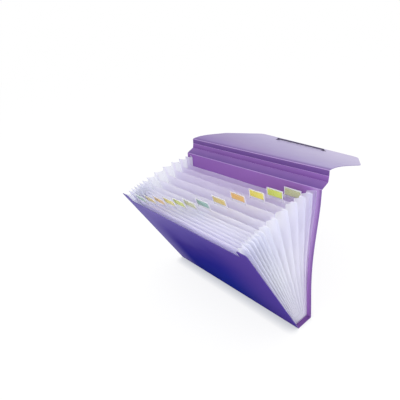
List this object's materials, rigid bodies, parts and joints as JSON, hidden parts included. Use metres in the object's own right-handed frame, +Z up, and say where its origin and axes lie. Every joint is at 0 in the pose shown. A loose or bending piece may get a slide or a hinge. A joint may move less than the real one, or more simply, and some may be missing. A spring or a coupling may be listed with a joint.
{
  "type": "expanding file folder",
  "caption": "Accordion file folder with creased cover, wrap-over flap, staggered index tabs and pleated side film; fans open on its base and folds shut flat",
  "frame": {"origin": "on the floor under the middle of the base panel", "axes": "X along the width of the covers, Y from the front cover to the back cover, Z up"},
  "size_m": [0.33, 0.3667, 0.2713],
  "materials": {
    "cover_sheet": "translucent satin polypropylene",
    "divider_sheet": "frosted clear polypropylene",
    "side_film": "frosted clear film",
    "clear_sleeve": "clear sleeve",
    "elastic_cord": "braided elastic cord",
    "eyelet": "dark moulded eyelet",
    "card_green": "coloured card",
    "card_gold": "coloured card",
    "card_orange": "coloured card",
    "card_yellow": "coloured card",
    "card_lime": "coloured card",
    "card_grey": "coloured card"
  },
  "bodies": {
    "base": {"bottom_spine": "cover_sheet", "back_cover": "cover_sheet", "gusset_fold_back": "side_film"},
    "front": {"front_cover": "cover_sheet", "gusset_fold_front": "side_film"},
    "leaf_01": {"divider_01": "divider_sheet", "tab_sleeve_01": "clear_sleeve", "gusset_fold_01": "side_film"},
    "card_01": {"tab_card_01": "card_green"},
    "leaf_02": {"divider_02": "divider_sheet", "tab_sleeve_02": "clear_sleeve", "gusset_fold_02": "side_film"},
    "card_02": {"tab_card_02": "card_gold"},
    "leaf_03": {"divider_03": "divider_sheet", "tab_sleeve_03": "clear_sleeve", "gusset_fold_03": "side_film"},
    "card_03": {"tab_card_03": "card_orange"},
    "leaf_04": {"divider_04": "divider_sheet", "tab_sleeve_04": "clear_sleeve", "gusset_fold_04": "side_film"},
    "card_04": {"tab_card_04": "card_yellow"},
    "leaf_05": {"divider_05": "divider_sheet", "tab_sleeve_05": "clear_sleeve", "gusset_fold_05": "side_film"},
    "card_05": {"tab_card_05": "card_lime"},
    "leaf_06": {"divider_06": "divider_sheet", "tab_sleeve_06": "clear_sleeve", "gusset_fold_06": "side_film"},
    "card_06": {"tab_card_06": "card_grey"},
    "leaf_07": {"divider_07": "divider_sheet", "tab_sleeve_07": "clear_sleeve", "gusset_fold_07": "side_film"},
    "card_07": {"tab_card_07": "card_green"},
    "leaf_08": {"divider_08": "divider_sheet", "tab_sleeve_08": "clear_sleeve", "gusset_fold_08": "side_film"},
    "card_08": {"tab_card_08": "card_gold"},
    "leaf_09": {"divider_09": "divider_sheet", "tab_sleeve_09": "clear_sleeve", "gusset_fold_09": "side_film"},
    "card_09": {"tab_card_09": "card_orange"},
    "leaf_10": {"divider_10": "divider_sheet", "tab_sleeve_10": "clear_sleeve", "gusset_fold_10": "side_film"},
    "card_10": {"tab_card_10": "card_yellow"},
    "leaf_11": {"divider_11": "divider_sheet", "tab_sleeve_11": "clear_sleeve", "gusset_fold_11": "side_film"},
    "card_11": {"tab_card_11": "card_lime"},
    "leaf_12": {"divider_12": "divider_sheet", "tab_sleeve_12": "clear_sleeve", "gusset_fold_12": "side_film"},
    "card_12": {"tab_card_12": "card_grey"},
    "strip_1": {"flap_strip_1": "cover_sheet"},
    "strip_2": {"flap_strip_2": "cover_sheet"},
    "strip_3": {"flap_strip_3": "cover_sheet"},
    "flap": {"flap_panel": "cover_sheet", "flap_eyelets": "eyelet", "flap_cord": "elastic_cord"}
  },
  "joints": [
    {"name": "flap_wrap", "type": "hinge", "parent": "base", "child": "strip_1", "pos_m": [0, 0.03509, 0.2448], "axis": [1, 0, 0], "range_deg": [0, 153]},
    {"name": "strip_crease_2", "type": "hinge", "parent": "strip_1", "child": "strip_2", "pos_m": [0, 0.0513, 0.25168], "axis": [1, 0, 0], "range_deg": [-54.05, 0.05]},
    {"name": "strip_crease_3", "type": "hinge", "parent": "strip_2", "child": "strip_3", "pos_m": [0, 0.05351, 0.26123], "axis": [1, 0, 0], "range_deg": [-11.05, 0.05]},
    {"name": "flap_hinge", "type": "hinge", "parent": "strip_3", "child": "flap", "pos_m": [0, 0.05385, 0.27103], "axis": [1, 0, 0], "range_deg": [-25, 186.61]},
    {"name": "fan_front", "type": "hinge", "parent": "base", "child": "front", "pos_m": [0, -0.018, 0.0004], "axis": [-1, 0, 0], "range_deg": [0, 33], "deforming": ["gusset_fold_front"]},
    {"name": "fan_01", "type": "hinge", "parent": "base", "child": "leaf_01", "pos_m": [0, -0.01523, 0.0004], "axis": [-1, 0, 0], "range_deg": [-0.05, 31.07], "deforming": ["gusset_fold_01"]},
    {"name": "fan_02", "type": "hinge", "parent": "base", "child": "leaf_02", "pos_m": [0, -0.01246, 0.0004], "axis": [-1, 0, 0], "range_deg": [-0.05, 30.08], "deforming": ["gusset_fold_02"]},
    {"name": "fan_03", "type": "hinge", "parent": "base", "child": "leaf_03", "pos_m": [0, -0.00969, 0.0004], "axis": [-1, 0, 0], "range_deg": [-0.05, 29.09], "deforming": ["gusset_fold_03"]},
    {"name": "fan_04", "type": "hinge", "parent": "base", "child": "leaf_04", "pos_m": [0, -0.00692, 0.0004], "axis": [-1, 0, 0], "range_deg": [-0.05, 28.1], "deforming": ["gusset_fold_04"]},
    {"name": "fan_05", "type": "hinge", "parent": "base", "child": "leaf_05", "pos_m": [0, -0.00415, 0.0004], "axis": [-1, 0, 0], "range_deg": [-0.05, 27.11], "deforming": ["gusset_fold_05"]},
    {"name": "fan_06", "type": "hinge", "parent": "base", "child": "leaf_06", "pos_m": [0, -0.00138, 0.0004], "axis": [-1, 0, 0], "range_deg": [-0.05, 25.95], "deforming": ["gusset_fold_06"]},
    {"name": "fan_07", "type": "hinge", "parent": "base", "child": "leaf_07", "pos_m": [0, 0.00138, 0.0004], "axis": [-1, 0, 0], "range_deg": [-0.05, 23.81], "deforming": ["gusset_fold_07"]},
    {"name": "fan_08", "type": "hinge", "parent": "base", "child": "leaf_08", "pos_m": [0, 0.00415, 0.0004], "axis": [-1, 0, 0], "range_deg": [-0.05, 19.85], "deforming": ["gusset_fold_08"]},
    {"name": "fan_09", "type": "hinge", "parent": "base", "child": "leaf_09", "pos_m": [0, 0.00692, 0.0004], "axis": [-1, 0, 0], "range_deg": [-0.05, 14.9], "deforming": ["gusset_fold_09"]},
    {"name": "fan_10", "type": "hinge", "parent": "base", "child": "leaf_10", "pos_m": [0, 0.00969, 0.0004], "axis": [-1, 0, 0], "range_deg": [-0.05, 10.12], "deforming": ["gusset_fold_10"]},
    {"name": "fan_11", "type": "hinge", "parent": "base", "child": "leaf_11", "pos_m": [0, 0.01246, 0.0004], "axis": [-1, 0, 0], "range_deg": [-0.05, 5.99], "deforming": ["gusset_fold_11"]},
    {"name": "fan_12", "type": "hinge", "parent": "base", "child": "leaf_12", "pos_m": [0, 0.01523, 0.0004], "axis": [-1, 0, 0], "range_deg": [-0.05, 2.36], "deforming": ["gusset_fold_12", "gusset_fold_back"]},
    {"name": "card_slide_01", "type": "slide", "parent": "leaf_01", "child": "card_01", "axis": [1, 0, 0], "range_m": [0, 0.0315]},
    {"name": "card_slide_02", "type": "slide", "parent": "leaf_02", "child": "card_02", "axis": [1, 0, 0], "range_m": [0, 0.0315]},
    {"name": "card_slide_03", "type": "slide", "parent": "leaf_03", "child": "card_03", "axis": [1, 0, 0], "range_m": [0, 0.0315]},
    {"name": "card_slide_04", "type": "slide", "parent": "leaf_04", "child": "card_04", "axis": [1, 0, 0], "range_m": [0, 0.0315]},
    {"name": "card_slide_05", "type": "slide", "parent": "leaf_05", "child": "card_05", "axis": [1, 0, 0], "range_m": [0, 0.0315]},
    {"name": "card_slide_06", "type": "slide", "parent": "leaf_06", "child": "card_06", "axis": [1, 0, 0], "range_m": [0, 0.0315]},
    {"name": "card_slide_07", "type": "slide", "parent": "leaf_07", "child": "card_07", "axis": [-1, 0, 0], "range_m": [0, 0.0315]},
    {"name": "card_slide_08", "type": "slide", "parent": "leaf_08", "child": "card_08", "axis": [-1, 0, 0], "range_m": [0, 0.0315]},
    {"name": "card_slide_09", "type": "slide", "parent": "leaf_09", "child": "card_09", "axis": [-1, 0, 0], "range_m": [0, 0.0315]},
    {"name": "card_slide_10", "type": "slide", "parent": "leaf_10", "child": "card_10", "axis": [-1, 0, 0], "range_m": [0, 0.0315]},
    {"name": "card_slide_11", "type": "slide", "parent": "leaf_11", "child": "card_11", "axis": [-1, 0, 0], "range_m": [0, 0.0315]},
    {"name": "card_slide_12", "type": "slide", "parent": "leaf_12", "child": "card_12", "axis": [-1, 0, 0], "range_m": [0, 0.0315]}
  ],
  "couplings": [
    {"joint": "strip_crease_2", "follows": "flap_wrap", "ratio": -0.35294},
    {"joint": "strip_crease_3", "follows": "flap_wrap", "ratio": -0.071895},
    {"joint": "fan_01", "follows": "fan_front", "ratio": 0.94},
    {"joint": "fan_02", "follows": "fan_front", "ratio": 0.91},
    {"joint": "fan_03", "follows": "fan_front", "ratio": 0.88},
    {"joint": "fan_04", "follows": "fan_front", "ratio": 0.85},
    {"joint": "fan_05", "follows": "fan_front", "ratio": 0.82},
    {"joint": "fan_06", "follows": "fan_front", "ratio": 0.785},
    {"joint": "fan_07", "follows": "fan_front", "ratio": 0.72},
    {"joint": "fan_08", "follows": "fan_front", "ratio": 0.6},
    {"joint": "fan_09", "follows": "fan_front", "ratio": 0.45},
    {"joint": "fan_10", "follows": "fan_front", "ratio": 0.305},
    {"joint": "fan_11", "follows": "fan_front", "ratio": 0.18},
    {"joint": "fan_12", "follows": "fan_front", "ratio": 0.07}
  ]
}
